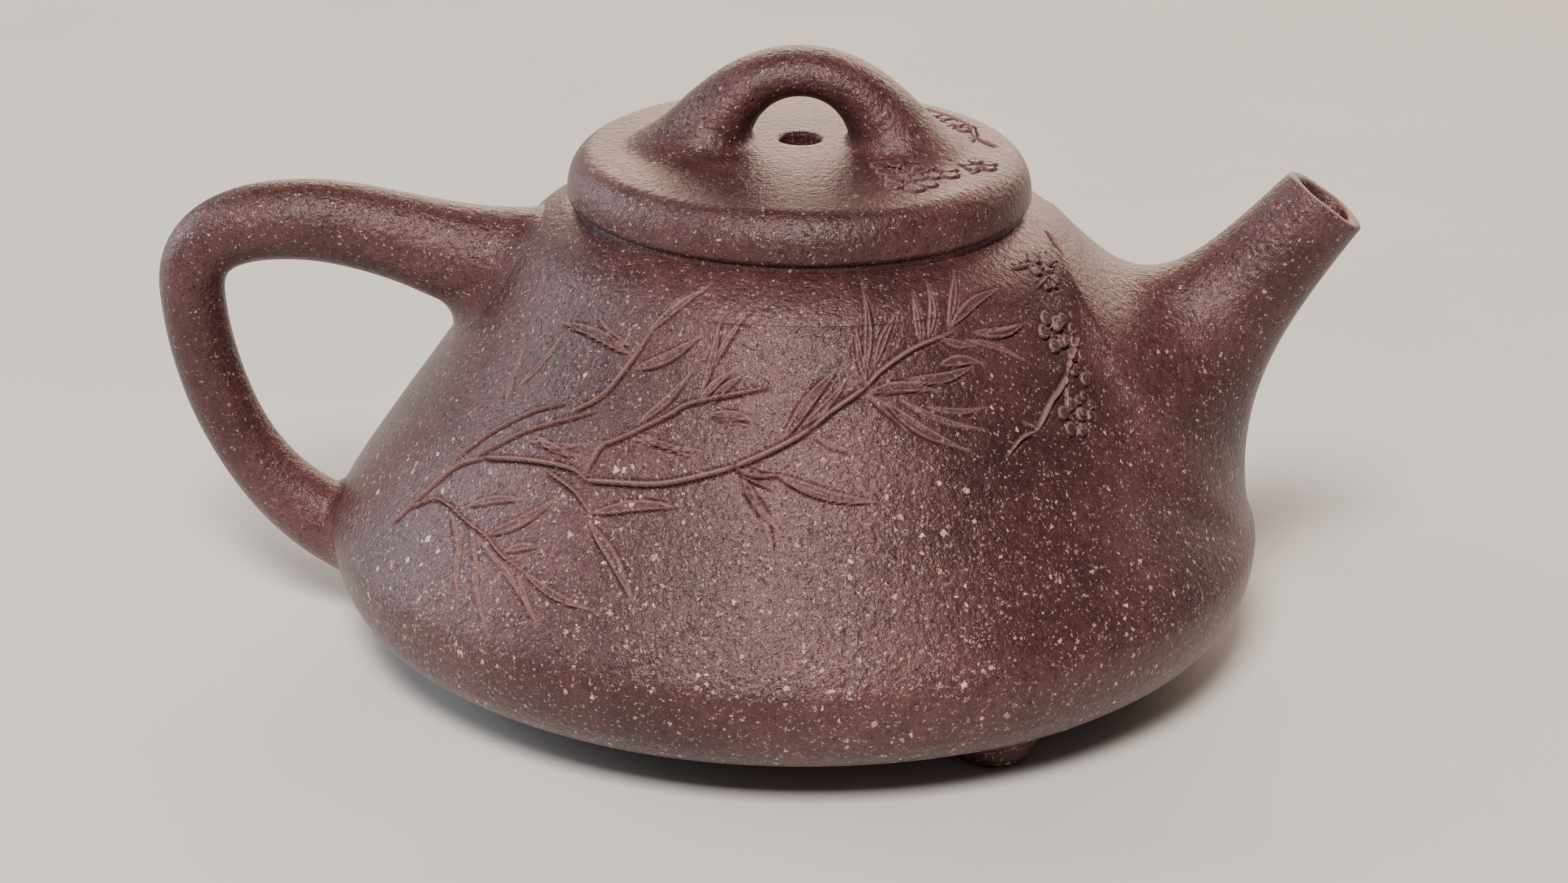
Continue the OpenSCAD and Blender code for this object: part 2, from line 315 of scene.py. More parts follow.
def lattice(line, starts, total, columns, split):
    """Lattice of a closed outline turned round the axis, split times finer than its cells:
    (points, outward directions). Columns are the cells' first angles, in order round the axis."""
    def finer(first, whole):
        """Split steps from each start to the next, the last one running on to the whole."""
        ends = np.append(first[1:], whole)
        return (first[:, None] + (ends - first)[:, None] * np.arange(split) / split).ravel()

    at = finer(starts, total)
    angles = finer(columns, columns[0] + 2 * np.pi)
    rows = places(line, at)
    slope = places(line, np.minimum(at + 0.05, total)) - places(line, np.maximum(at - 0.05, 0))
    slope /= np.linalg.norm(slope, axis=1)[:, None]
    out = np.stack([slope[:, 1], -slope[:, 0]], -1)
    return turned(rows, angles), turned(out, angles)


def carved_ring(name, segments, columns, split, carved, place, strokes, wave, opened=None):
    """Closed ring of a turned outline with carving: returns its mesh. Only cells that a stroke
    touches are refined. Carved says which parts of the outline take strokes and unevenness of the
    wave's height. Opened may move the lattice's points and drop cells."""
    line, starts, total, counts = outline_cells(*segments)
    points, out = lattice(line, starts, total, columns, split)
    keep = np.ones((len(starts), len(columns)), bool)
    if opened:
        points, keep = opened(points, starts, counts, keep)
    part = np.repeat(np.arange(len(counts)), np.array(counts) * split)
    inside = np.isin(part, carved)
    lift, cut, worn = np.zeros((3,) + points.shape[:2])
    marks = carve(points[inside].reshape(-1, 3), out[inside].reshape(-1, 3), place, strokes)
    for whole, values in zip((lift, cut, worn), marks):
        whole[inside] = values.reshape(-1, whole.shape[1])
    active = (abs(lift) > 0.004) | (cut > 0.02)
    for axis in (0, 1):
        active |= np.roll(active, 1, axis) | np.roll(active, -1, axis)
    refined = active.reshape(len(starts), split, len(columns), split).any(axis=(1, 3)) & keep
    lift[inside] += wave * unevenness(points[inside])
    points = (points + lift[..., None] * out).reshape(-1, 3)
    sets = cell_faces(split, refined, keep)
    used, flat = np.unique(np.concatenate([f.ravel() for f in sets]), return_inverse=True)
    sizes = np.cumsum([f.size for f in sets])[:-1]
    sets = [part.reshape(f.shape) for part, f in zip(np.split(flat, sizes), sets)]
    return build(name, points[used], sets, cut=cut.ravel()[used], worn=worn.ravel()[used])


def turned(line, angles):
    """Grid of a line of (radius, height) turned round the axis: (r sin a, -r cos a, z)."""
    r, z = line[:, 0][:, None], line[:, 1][:, None]
    return np.stack([r * np.sin(angles), -r * np.cos(angles), z + 0 * angles], -1)


# Each wave: how fast it turns along x, y and z, and where it starts
WAVES = ((.11, .05, .09, 0), (-.07, .13, .04, 1.9), (.05, -.09, .17, 4.1), (.19, .12, -.08, 2.6),
         (-.14, .21, .11, 5.2))
WAVE_SINK = -2.91


def unevenness(points):
    """Slow waves of a hand-shaped surface: five sines in crossing directions, added up, less the
    sum of their heights, so that a wave only ever lowers a surface."""
    total = WAVE_SINK
    for k, (*across, turn) in enumerate(WAVES):
        total = total + np.sin(points @ np.array(across) * 1.6 + turn) / (1 + k * 0.5)
    return total


# ---------------------------------------------------------------- carving


def carve(points, outward, place, strokes):
    """Presses strokes into a patch of surface. Returns lift, cut and worn, one value a point. Cut
    also tells the finish where to paint shade into the grooves.
    Each stroke finds the points near its line and measures, for each, how far along the line it
    is (t, 0 to 1), how far to its lower or right side (side), and how far past its ends."""
    lift, cut, worn = np.zeros((3, len(points)))
    for stroke in strokes:
        line = place(through(stroke["line"], 0.2) if len(stroke["line"]) > 1
                     else np.array(stroke["line"] * 2, float))
        margin = stroke["half"] + 0.7
        close = (points > line.min(0) - margin) & (points < line.max(0) + margin)
        near = np.where(close.all(1))[0]
        if not len(near):
            continue
        here = points[near]
        out = outward[near]
        if stroke["kind"] == "petal":
            up = np.array([0, 0, 1.0]) if abs(out[:, 2]).mean() < 0.85 else np.array([0, 1.0, 0])
            up = up - out * (out @ up)[:, None]
            up /= np.linalg.norm(up, axis=1)[:, None]
            east = np.cross(up, out)
            offset = here - line[0]
            x, y = (offset * east).sum(1), (offset * up).sum(1)
            shape = petal(x, y, stroke)
        else:
            gap = ((here ** 2).sum(1)[:, None] + (line ** 2).sum(1)[None] - 2 * here @ line.T)
            k = np.argmin(gap, 1)
            run = np.gradient(line, axis=0)
            run /= np.linalg.norm(run, axis=1)[:, None]
            offset = here - line[k]
            ahead = (offset * run[k]).sum(1)
            over_side = np.cross(run[k], out)
            lower = over_side @ np.array([0.45, -0.35, -1.0])
            over_side *= np.where(lower < 0, -1.0, 1.0)[:, None]
            side = (offset * over_side).sum(1)
            past = np.where((k == 0) | (k == len(line) - 1), abs(ahead), 0)
            t = k / (len(line) - 1)
            shape = {"stem": stem, "leaf": leaf}[stroke["kind"]](t, side, past, stroke,
                                                               length_along(line)[-1])
        lift[near] += shape[0]
        # cut: where the finish paints shade into the grooves, most under each stroke's lower side
        cut[near] = np.maximum(cut[near], shape[1])
        worn[near] = np.maximum(worn[near], shape[2])
    return lift, cut, worn


def groove(distance, width):
    """Rounded notch, 1 deep at its middle: exp(-(distance / width)^2)."""
    return np.exp(-(distance / width) ** 2)


def stem(t, side, past, stroke, length):
    """Raised round ridge with a deep cut under its lower side and a faint one over its upper."""
    half, force = stroke["half"], stroke["force"]
    taper = np.minimum(1, np.minimum(t * length / 1.6, (1 - t) * length / stroke["fade"]) + 0.25)
    width = half * (0.65 + 0.35 * taper)
    fall = groove(past, 0.25) * (0.35 + 0.65 * ease(taper))
    ridge = np.maximum(0, 1 - (side / (width * 1.15)) ** 2) * fall
    low = groove(side - width - 0.1, 0.14) * fall
    high = groove(side + width + 0.08, 0.12) * fall
    joint = 0
    for at in stroke.get("joints", ()):
        joint = joint + groove((t - at) * length, 0.35) * (abs(side) < width * 1.6)
    lift = force * (0.34 * ridge - 0.48 * low - 0.16 * high) + 0.18 * joint * ridge
    return lift, force * (low + 0.2 * high), np.minimum(1, force * ridge * 1.3)


def leaf(t, side, past, stroke, length):
    """Long pointed leaf: half width follows sin(pi t^0.8), both edges are low ridges, a sharp cut
    runs under the lower edge, a faint one over the upper, and a thin vein up the middle."""
    force = stroke["force"]
    width = stroke["half"] * np.sin(np.pi * np.clip(t, 0, 1) ** 0.8) ** 0.85
    fall = groove(past, 0.2) * (0.25 + 0.75 * ease(np.minimum(t * 6, (1 - t) * 3)))
    inside = np.maximum(0, 1 - (side / np.maximum(width, 0.15)) ** 2)
    low = groove(side - width - 0.05, 0.11) * fall
    high = groove(side + width + 0.05, 0.1) * fall
    rims = (groove(side - width + 0.15, 0.11) * 0.9 + groove(side + width - 0.14, 0.11)) * fall
    vein = groove(side - 0.12 * width, 0.1) * fall
    lift = force * (0.05 * inside * fall - 0.42 * low - 0.18 * high + 0.17 * rims - 0.12 * vein)
    return (lift, force * (low + 0.4 * high + 0.3 * vein),
            np.minimum(1, (0.35 + 0.65 * force) * (1.15 * rims + 0.1 * inside * fall)))


def petal(x, y, stroke):
    """Small round petal: a thin raised rim, undercut deeply below and barely above."""
    size, force = stroke["half"], stroke["force"]
    far = np.hypot(x, y)
    lower = np.clip((x * 0.35 - y) / np.maximum(far, 1e-6), -1, 1)
    dome = np.maximum(0, 1 - (far / size) ** 2)
    edge = groove(far - size - 0.05, 0.14) * (0.12 + 0.88 * ease(lower * 0.8 + 0.42))
    rim = groove(far - size + 0.18, 0.13)
    lift = force * (0.15 * np.sqrt(dome) + 0.12 * rim - 0.5 * edge)
    return lift, force * edge, force * np.minimum(1, 1.1 * rim * ease(0.85 - lower) + 0.1 * dome)


def stems(half, force, fade, *lines, **more):
    """Stems of one half width and force, each thinning over its last fade mm."""
    return [dict(kind="stem", line=line, half=half, force=force, fade=fade, **more)
            for line in lines]


def leaves(half, force, *ends):
    """Leaves from base to tip, each with a little sag to its middle."""
    made = []
    for k, (base, tip) in enumerate(ends):
        base, tip = np.array(base, float), np.array(tip, float)
        span = tip - base
        sag = np.array([-span[1] * 1.3, span[0] / 1.3]) * (0.05 if k % 2 else -0.04)
        middle = (base + tip) / 2 + sag
        made.append(dict(kind="leaf", line=[tuple(base), tuple(middle), tuple(tip)],
                         half=half, force=force))
    return made


def blossom(centre, size, turn, squash, force=1.0, petals=5):
    """Open blossom: round petals set evenly about a centre with a few stamen buds inside it.
    Squash is the width of one unit across, such as the degrees that make a millimetre."""
    made = []
    for k in range(petals):
        a = np.radians(turn) + 2 * np.pi * k / petals
        made.append(dict(kind="petal", half=size * 0.58, force=force,
                         line=[(centre[0] + size * squash * np.cos(a),
                                centre[1] + size * 0.9 * np.sin(a))]))
    for k in range(3):
        a = np.radians(turn + 40) + 2 * np.pi * k / 3
        made.append(dict(kind="petal", half=0.24, force=force,
                         line=[(centre[0] + 0.55 * squash * np.cos(a),
                                centre[1] + 0.55 * np.sin(a))]))
    return made


# Strokes on the wall: degrees round from the front towards the spout, and height in mm
BAMBOO = (
    stems(0.27, 1.0, 5.0, [(-51, 32), (-44, 33.2), (-38, 33.8), (-34, 33.8), (-31.5, 33.2)],
          joints=(0.02, 0.97))
    + stems(0.29, 1.0, 2.0, [(-31.5, 33.2), (-27, 33.6), (-20, 34.2), (-13, 35.6), (-9, 36.5)],
            joints=(0.98,))
    + stems(0.29, 1.0, 2.0, [(-9, 36.5), (-4, 38), (0, 39.3), (2.5, 40.2)], joints=(0.97,))
    + stems(0.28, 1.0, 2.0, [(2.5, 40.2), (6, 41.8), (12, 43.8)], joints=(0.96,))
    + stems(0.27, 0.9, 7.0, [(12, 43.8), (15, 45.2), (20, 46.6), (24, 47.3), (31, 48)])
    + stems(0.24, 0.75, 4.0, [(-63, 22), (-60, 26), (-56, 30), (-51, 32)])
    + stems(0.19, 0.7, 6.0, [(-57, 30.5), (-53, 34), (-46.5, 37.5), (-40, 39.5)],
            [(-52.5, 32), (-45, 36), (-34, 39.5)],
            [(-61, 24.3), (-57, 26.3), (-53, 26.5), (-48.5, 26), (-44, 25.5), (-40.5, 24.5),
             (-37.5, 24), (-35.5, 23.5)])
    + stems(0.22, 0.85, 6.0, [(-38, 39), (-34, 41), (-31.5, 43.5), (-28.5, 47.5)],
            [(-32, 34), (-31, 36.5), (-28.5, 37.5), (-21, 40.5), (-17, 42), (-4.5, 44)],
            [(-38.5, 33), (-33, 32), (-29.5, 30.5)])
    + stems(0.22, 0.9, 2.0, [(-9, 36.4), (-6, 35.8), (-2.4, 35.9)])
    + leaves(0.66, 0.95, ((-31, 45.3), (-50, 46.2)), ((-29, 30.4), (-16, 32.4)),
             ((-3, 36), (13, 33.2)), ((26.5, 45.2), (35.2, 44.6)), ((35.1, 47.5), (49.2, 47)),
             ((-2, 39), (8, 46)), ((15, 42.4), (27.5, 37)), ((12.5, 43.4), (25.5, 42.8)),
             ((19.5, 44.2), (33.5, 44.5)), ((30, 48.4), (46, 50.8)), ((-29.5, 44), (-18, 48.2)),
             ((-29, 29.6), (-19.5, 23)), ((-44, 25.6), (-35, 31)), ((-8.5, 36.2), (-2.5, 34.4)))
    + leaves(0.5, 0.75, ((-36.5, 23.8), (-24, 21.8)), ((-50, 27.2), (-39.5, 30)),
             ((-43.5, 35.6), (-33, 35.2)), ((-16.5, 42), (-11, 45.3)), ((-26, 39.2), (-18.5, 44.8)),
             ((-14.5, 41), (-5.5, 40.6)), ((12.3, 45), (14.5, 53)), ((14, 45.6), (20, 50.5)),
             ((25.5, 47.8), (29.5, 52.6)), ((30, 48.5), (38, 53)), ((37, 47.2), (48.5, 47)),
             ((-40.2, 24.8), (-34.5, 26.4)), ((0.5, 40.2), (9.5, 45)), ((-29, 47.6), (-19.2, 52.6)),
             ((-8, 35.9), (-1.6, 30.6)), ((12.3, 43.2), (18.3, 39.5)), ((27.4, 47.7), (35.4, 46.2)),
             ((-14.7, 41.8), (-9.4, 44.9)))
    + leaves(0.4, 0.55, ((-26, 38.4), (-14, 37.6)), ((-26, 37.8), (-15, 36.8)),
             ((-52.2, 39), (-47.3, 45.6)), ((-53, 37.2), (-55.7, 42.7)),
             ((-45.3, 24.6), (-37.2, 16.8)), ((-51.7, 25.8), (-47, 22.7)),
             ((-36.8, 23.5), (-31, 19.2)), ((-8, 34.9), (-2.5, 31)),
             ((-16.2, 42.6), (-15.1, 50.3)), ((-31, 46), (-41, 47.9)),
             ((-49, 25.8), (-44, 19)), ((-15.5, 44.8), (-9.5, 51)), ((22, 41.5), (34, 40.5)),
             ((33, 47), (45, 43.5)), ((3, 39.6), (9, 38)), ((-45.5, 25.2), (-31.5, 19.7)),
             ((-48, 26.7), (-41.5, 21.5)), ((-6.3, 34.6), (-2.3, 28.3)),
             ((17.6, 42.5), (31.7, 38.5)), ((23.7, 47.4), (25, 52)), ((-44.6, 35), (-33, 36.5)),
             ((12.5, 44), (11.6, 50))))
PLUM = (
    stems(0.28, 0.95, 3.0, [(78, 52.3), (74.5, 51), (69, 48), (64.5, 45.5)])
    + stems(0.32, 0.95, 3.0, [(65, 46), (61.5, 44), (58.5, 43), (55, 42), (52.5, 41)])
    + stems(0.38, 0.95, 3.0, [(52.5, 41), (49, 40), (46, 39.3), (41, 37.3)])
    + stems(0.24, 0.9, 3.0, [(41, 37.3), (37.5, 37), (34, 35.8)],
            [(52, 41), (50.5, 39.6), (49, 38.2)], [(71, 48.3), (73.5, 45.8), (75, 43)],
            [(41, 37.5), (39, 38.4)], [(60, 51.5), (54, 51.8)], [(61, 50), (57, 49.6)])
    + blossom((62, 50.4), 1.5, 10, 1.7) + blossom((67.5, 49.8), 1.7, 50, 1.7)
    + blossom((54.5, 45.2), 1.6, 20, 1.5) + blossom((58.5, 44.6), 1.4, 70, 1.5)
    + blossom((57.5, 41.2), 1.5, 35, 1.5) + blossom((49.5, 37.2), 1.5, 0, 1.4, 0.85)
    + blossom((53.5, 37.8), 1.1, 60, 1.4, 0.7) + blossom((63.5, 41.6), 1.2, 25, 1.5, 0.8)
    + blossom((75.5, 46.5), 1.0, 15, 1.8, 0.7, 4))
# Strokes on the lid: x and y in mm
LID_PLUM = (
    stems(0.26, 0.8, 3.0, [(14.5, 16.5), (18.3, 12.4), (20, 9), (20.4, 5), (20.2, 2.4)],
          [(20.2, 2.4), (17.5, -0.6), (15.4, -3.6)], [(20.3, 4.5), (22.6, 1.2)],
          [(21, -7), (19.4, -9.4)])
    + blossom((10.8, -9.6), 1.9, 15, 1.0) + blossom((15.4, -9.8), 1.8, 40, 1.0)
    + blossom((12.2, -14.2), 2.0, 70, 1.0) + blossom((20.3, -6.4), 1.5, 30, 1.0)
    + blossom((18.4, 8.3), 1.4, 10, 1.0) + blossom((18.6, 3.2), 1.3, 50, 1.0)
    + blossom((15.6, 12.2), 1.5, 0, 1.0, 0.8))


def on_wall(marks):
    """Places of (degrees, height) on the pot's skin: the outline's radius at that height."""
    line = POT_SKIN[0]
    upper = line[(line[:, 1] >= BELLY_Z) & (line[:, 0] > SHOULDER_R)]
    r = np.interp(marks[:, 1], upper[:, 1], upper[:, 0])
    a = np.radians(marks[:, 0])
    return np.stack([r * np.sin(a), -r * np.cos(a), marks[:, 1]], -1)


def on_lid(marks):
    """Places of (x, y) on the lid's face: the outline's height at that radius."""
    face = LID_SKIN[0][LID_SKIN[0][:, 1] > LID_TOP - 0.8][::-1]
    z = np.interp(np.hypot(marks[:, 0], marks[:, 1]), face[:, 0], face[:, 1])
    return np.column_stack([marks, z])


# ---------------------------------------------------------------- finishes


class Nodes:
    """Small helper that adds shader nodes and joins them."""

    def __init__(self, name):
        self.finish = bpy.data.materials.new(name)
        self.finish.use_nodes = True
        self.tree = self.finish.node_tree
        self.shader = self.tree.nodes["Principled BSDF"]

    def add(self, kind, settings=None, **inputs):
        """A new node with its settings made and its named inputs filled."""
        node = self.tree.nodes.new(kind)
        for key, value in (settings or {}).items():
            setattr(node, key, value)
        for key, value in inputs.items():
            self.set(node, key.replace("_", " "), value)
        return node

    def set(self, node, socket, value):
        """Joins another node's output to a socket, or writes a plain value there."""
        socket = node.inputs[int(socket)] if str(socket).isdigit() else node.inputs[socket]
        if hasattr(value, "node"):
            self.tree.links.new(value, socket)
        else:
            socket.default_value = value

    def math(self, operation, a, b=0.0, c=0.0, clamp=False):
        """Sum, product or other operation on numbers."""
        node = self.tree.nodes.new("ShaderNodeMath")
        node.operation, node.use_clamp = operation, clamp
        for k, value in enumerate((a, b, c)):
            self.set(node, str(k), value)
        return node.outputs[0]

    def vector(self, operation, a, b):
        """The same on two vectors."""
        node = self.add("ShaderNodeVectorMath", {"operation": operation})
        self.set(node, 0, a)
        self.set(node, 1, b)
        return node.outputs[0]

    def between(self, value, low, high):
        """0 below low, 1 above high, smooth between."""
        node = self.add("ShaderNodeMapRange", {"interpolation_type": "SMOOTHSTEP"})
        for socket, v in (("Value", value), ("From Min", low), ("From Max", high)):
            self.set(node, socket, v)
        return node.outputs["Result"]

    def mix(self, factor, a, b, blend="MIX"):
        """Colour b laid over colour a by a factor."""
        node = self.add("ShaderNodeMix", {"data_type": "RGBA", "blend_type": blend})
        for k, value in ((0, factor), (6, a), (7, b)):
            self.set(node, str(k), value)
        return node.outputs[2]

    def noise(self, at, scale, detail=2.0, rough=0.55):
        """Smooth random value, 0 to 1 and mostly near 0.5, with scale waves a unit."""
        return self.add("ShaderNodeTexNoise", Vector=at, Scale=scale, Detail=detail,
                        Roughness=rough).outputs["Fac"]

    def ramp(self, value, *stops):
        """Colour read from (place, colour) stops."""
        node = self.add("ShaderNodeValToRGB", Fac=value)
        marks = node.color_ramp.elements
        while len(marks) < len(stops):
            marks.new(0.5)
        for mark, (place, colour) in zip(marks, stops):
            mark.position = place
            mark.color = (*colour, 1)
        return node.outputs["Color"]


# Sizes of grit: cells a millimetre, share of cells left bare, reach in cells, strength
GRIT = ((2.3, 0.54, 0.42, 0.42), (1.05, 0.72, 0.34, 0.9), (0.42, 0.78, 0.22, 1.0))
SAND = ((0.0, (0.33, 0.2, 0.19)), (0.3, (0.45, 0.32, 0.29)), (0.6, (0.62, 0.46, 0.34)),
        (0.9, (0.74, 0.58, 0.4)), (1.0, (0.66, 0.36, 0.15)))
RUBBED = (0.3, 0.17, 0.16)
GLOSS_TINT = (1.0, 0.84, 0.81, 1.0)


def with_grit(n, mm, worn, colour):
    """Lays grit over a colour and returns the new colour and where the grit lies. A grit shows
    where a cell's own random number, made less towards the lid, the handle and the spout, is
    larger than the share left bare. It fills the cell's middle out to its reach, and worn ridges
    are nearly free of it."""
    wander = n.add("ShaderNodeTexNoise", Vector=mm, Scale=2.3, Detail=2.0).outputs["Color"]
    bent = n.vector("ADD", mm, n.vector("MULTIPLY", wander, (0.8, 0.8, 0.8)))
    at = n.add("ShaderNodeSeparateXYZ", Vector=mm).outputs
    lean = n.math("MAXIMUM", n.between(at["Z"], 22.0, 56.0),
                  n.between(n.math("ABSOLUTE", at["X"]), 44.0, 60.0))
    rich = n.math("SUBTRACT", n.math("MULTIPLY", n.noise(mm, 0.07, 2.0), 0.2),
                  n.math("MULTIPLY", lean, 0.2))
    clean = n.math("SUBTRACT", 1.0, n.math("MULTIPLY", worn, 0.75))
    grit = None
    for scale, bare, size, strength in GRIT:
        coarse = scale < 2
        cells = n.add("ShaderNodeTexVoronoi", {"distance": "MANHATTAN" if coarse else "EUCLIDEAN"},
                      Vector=bent, Scale=scale).outputs
        lots = n.add("ShaderNodeSeparateColor", Color=cells["Color"]).outputs
        shown = n.between(n.math("ADD", lots["Red"], rich), bare, bare + 0.3)
        reach = n.math("MULTIPLY", shown, size * (1.35 if coarse else 1.0))
        mask = n.math("SUBTRACT", 1.0, n.between(cells["Distance"],
                                                 n.math("MULTIPLY", reach, 0.75), reach))
        mask = n.math("MULTIPLY", mask, n.math("GREATER_THAN", shown, 0.05))
        glow = n.math("ADD", n.math("MULTIPLY", lots["Blue"], 0.55), 0.45)
        mask = n.math("MULTIPLY", n.math("MULTIPLY", n.math("MULTIPLY", mask, strength), glow),
                      clean)
        colour = n.mix(mask, colour, n.ramp(lots["Green"], *SAND))
        grit = mask if grit is None else n.math("MAXIMUM", grit, mask)
    return colour, grit


def clay(name, dark, warm, pale, gloss, peel):
    """Sandy purple clay. Three tones drift over the surface, fine grains mottle it, and pale grit
    lies in it. Cuts are duller and painted darker as shade, small hollows are painted darker as
    shade, and worn ridges are paler. Gloss is the middle roughness, and peel scales the height of
    the dimples and the grain."""
    n = Nodes(name)
    where = n.add("ShaderNodeTexCoord").outputs["Object"]
    mm = n.add("ShaderNodeMapping", Vector=where, Scale=(1000, 1000, 1000)).outputs["Vector"]
    cut, worn = [n.add("ShaderNodeAttribute", {"attribute_name": mark}).outputs["Fac"]
                 for mark in ("cut", "worn")]
    drift = n.noise(mm, 0.045, 3.0)
    mottle = n.noise(mm, 0.5, 4.0, 0.65)
    grain = n.noise(mm, 2.4, 3.0, 0.7)
    dimple = n.noise(mm, 1.1, 2.0, 0.5)
    hollow = n.math("SUBTRACT", 1.0, n.between(n.noise(mm, 1.7, 2.0, 0.6), 0.3, 0.38))

    tone = n.math("ADD", n.math("MULTIPLY", drift, 0.65), n.math("MULTIPLY", mottle, 0.35))
    shade = n.ramp(grain, (0.3, (0.5, 0.47, 0.48)), (0.5, (1, 1, 1)), (0.7, (1.5, 1.42, 1.46)))
    colour = n.mix(0.85, n.ramp(tone, (0.36, dark), (0.5, warm), (0.64, pale)), shade, "MULTIPLY")
    colour, grit = with_grit(n, mm, worn, colour)
    red, green, blue = dark
    ridge = [0.35 * v + 0.65 * w for v, w in zip(pale, RUBBED)]
    # painted shade: small hollows darkened in colour, besides being lowered in the bump
    colour = n.mix(n.math("MULTIPLY", hollow, 0.6), colour,
                   (red * 0.35, green * 0.3, blue * 0.3, 1))
    colour = n.mix(n.math("MULTIPLY", worn, 0.85, clamp=True), colour, (*ridge, 1))
    # painted shade: the cuts' colour darkened towards near black, standing in for the shadow in
    # them
    colour = n.mix(n.math("MULTIPLY", n.between(cut, 0.3, 0.95), 0.8), colour,
                   (red * 0.2, green * 0.18, blue * 0.18, 1))
    n.set(n.shader, "Base Color", colour)

    rough = n.math("ADD", n.math("MULTIPLY", mottle, 0.22), gloss - 0.11)
    for mark, more in ((grit, 0.12), (worn, 0.1), (cut, 0.6)):
        rough = n.math("ADD", rough, n.math("MULTIPLY", mark, more), clamp=mark is cut)
    n.set(n.shader, "Roughness", rough)
    n.set(n.shader, "Specular IOR Level", 0.5)
    n.set(n.shader, "Specular Tint", GLOSS_TINT)

    height = n.math("ADD", n.math("MULTIPLY", dimple, 0.11 * peel),
                    n.math("MULTIPLY", grain, 0.075 * peel))
    height = n.math("SUBTRACT", height, n.math("MULTIPLY", hollow, 0.03 * peel))
    height = n.math("ADD", height, n.math("MULTIPLY", grit, 0.015))
    bump = n.add("ShaderNodeBump", Strength=1.0, Distance=MM, Height=height)
    n.set(n.shader, "Normal", bump.outputs["Normal"])
    return n.finish


BURNISHED = clay("burnished_clay", (0.031, 0.0108, 0.0122), (0.057, 0.021, 0.022),
                 (0.094, 0.038, 0.0395), 0.345, 2.0)
RAW = clay("raw_clay", (0.06, 0.028, 0.027), (0.095, 0.046, 0.041), (0.14, 0.078, 0.068),
           0.72, 2.2)

# ---------------------------------------------------------------- wall and shoulder

COLUMNS = np.radians(np.unique(np.round(np.concatenate([
    np.arange(-67, 80.01, 1.05), np.linspace(*PORT_EDGES, 9), np.arange(101, 291, 3.0)]), 4)))
SPLIT = 5
CARVED = dict(place=on_wall, strokes=BAMBOO + PLUM, wave=WALL_WAVE)
ACROSS_PORT = np.array([0, 1.0, 0])
UP_PORT = np.array([-np.cos(SLOPE), 0, np.sin(SLOPE)])


def round_port(grid, skin, centre, rows, columns):
    """Opens a round port in a lattice: the square of lattice lines given by rows and columns
    goes on to a circle, (u, v) / |(u, v)| times the port's radius, and the lines round it follow
    less and less out to twice the size."""
    u, v = (grid - centre) @ ACROSS_PORT, (grid - centre) @ UP_PORT
    half_u = abs(u[rows[0]:rows[1] + 1, columns[0]]).mean()
    v_low, v_high = v[rows[0], columns].mean(), v[rows[1], columns].mean()
    middle, half_v = (v_low + v_high) / 2, abs(v_high - v_low) / 2
    a, b = u / half_u, (v - middle) / half_v
    square = np.maximum(abs(a), abs(b))
    far = np.maximum(np.hypot(a, b), 1e-6)
    keep = ease(square - 1)
    new_u = PORT_R * square * a / far * (1 - keep) + u * keep
    new_v = PORT_R * square * b / far * (1 - keep) + v * keep
    moving = np.where((grid[..., 0] > 20) & (square < 2))
    moved = (centre + new_u[moving][:, None] * ACROSS_PORT
             + new_v[moving][:, None] * UP_PORT)
    height, out = over(skin, moved)
    grid[moving] = moved - height[:, None] * out
    return grid


def open_port(points, starts, counts, keep):
    """Opens the port through the outer and the inner skin, behind the spout."""
    degrees = np.degrees(COLUMNS)
    columns = [int(np.argmin(abs(degrees - edge))) for edge in PORT_EDGES]
    reach, high = (curve(CONE, PORT_PLACE) + curve(INNER_CONE, PORT_PLACE)) / 2
    centre = np.array([reach, 0, high])
    first = np.cumsum([0] + counts)
    for part, skin in ((1, POT_SKIN), (3, INNER_SKIN)):
        cells = np.arange(first[part], first[part + 1])
        at = (points[cells * SPLIT, columns[0] * SPLIT] - centre) @ UP_PORT
        rows = sorted(cells[np.argmin(abs(at - edge))] for edge in (-5.5, 5.5))
        height, out = over(skin, centre[None])
        block = slice(cells[0] * SPLIT, (cells[-1] + 1) * SPLIT)
        shift = [(r - cells[0]) * SPLIT for r in rows]
        points[block] = round_port(points[block], skin, centre - height[0] * out[0], shift,
                                   [c * SPLIT for c in columns])
        keep[rows[0]:rows[1], columns[0]:columns[1]] = False
    return points, keep


def body_wall():
    """Closed ring of the wall's outer skin, rim, inner skin and lower edge, carved outside. The
    port's two round edges are bridged by a band of faces."""
    mesh = carved_ring("body_wall_carved", [
        (CORNER, 1.5), (CONE, 0.85), (((RIM_R, RIM_Z), (INNER_RIM_R, RIM_Z)), 2.0),
        (INNER_CONE[::-1], 1.8), (INNER_CORNER[::-1], 2.4),
        (((BASE_R, FLOOR_Z), (BASE_R, BASE_Z)), 2.0)],
        COLUMNS, SPLIT, (0, 1), opened=open_port, **CARVED)
    shape = bmesh.new()
    shape.from_mesh(mesh)
    bmesh.ops.bridge_loops(shape, edges=[e for e in shape.edges if e.is_boundary])
    bmesh.ops.recalc_face_normals(shape, faces=shape.faces)
    shape.to_mesh(mesh)
    shape.free()
    return settled("body_wall_carved", mesh, "pot", ["body_wall"], BURNISHED, 50)


def shoulder_slab():
    """Ring that closes the pot above: its rounded shoulder, top, mouth bore and under side."""
    line = [SHOULDER[3], (MOUTH_R, SHOULDER_Z), (MOUTH_R, RIM_Z + 0.5),
            (MOUTH_R + 0.5, RIM_Z), (RIM_R, RIM_Z)]
    mesh = carved_ring("shoulder_slab_carved", [(SHOULDER, 0.85)] + [
        (pair, 2.5) for pair in zip(line[:-1], line[1:])], COLUMNS, SPLIT, (0,), **CARVED)
    return settled("shoulder_slab_carved", mesh, "pot", ["shoulder_slab"],
                   BURNISHED, 70)


# ---------------------------------------------------------------- turned pieces


